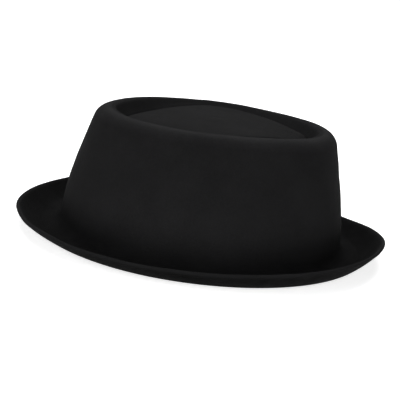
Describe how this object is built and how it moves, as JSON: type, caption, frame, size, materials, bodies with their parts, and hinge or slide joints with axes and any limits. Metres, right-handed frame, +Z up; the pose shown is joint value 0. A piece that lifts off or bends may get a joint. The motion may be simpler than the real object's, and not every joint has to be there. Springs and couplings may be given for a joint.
{
  "type": "porkpie hat",
  "caption": "Black felt porkpie hat with a leaning crown, a telescoped tip with a pointed panel, and a narrow brim curled up all round.",
  "frame": {"origin": "on the resting surface under the middle of the hat's box; the brim's flat belly lies in z = 0", "axes": "+Z up to the crown's crest, -Y towards the front of the hat, +X towards the wearer's left"},
  "size_m": [0.24, 0.2654, 0.0878],
  "materials": {
    "felt": "matt pressed felt with a soft nap"
  },
  "bodies": {
    "root": {"hat_felt": "felt"}
  },
  "joints": []
}
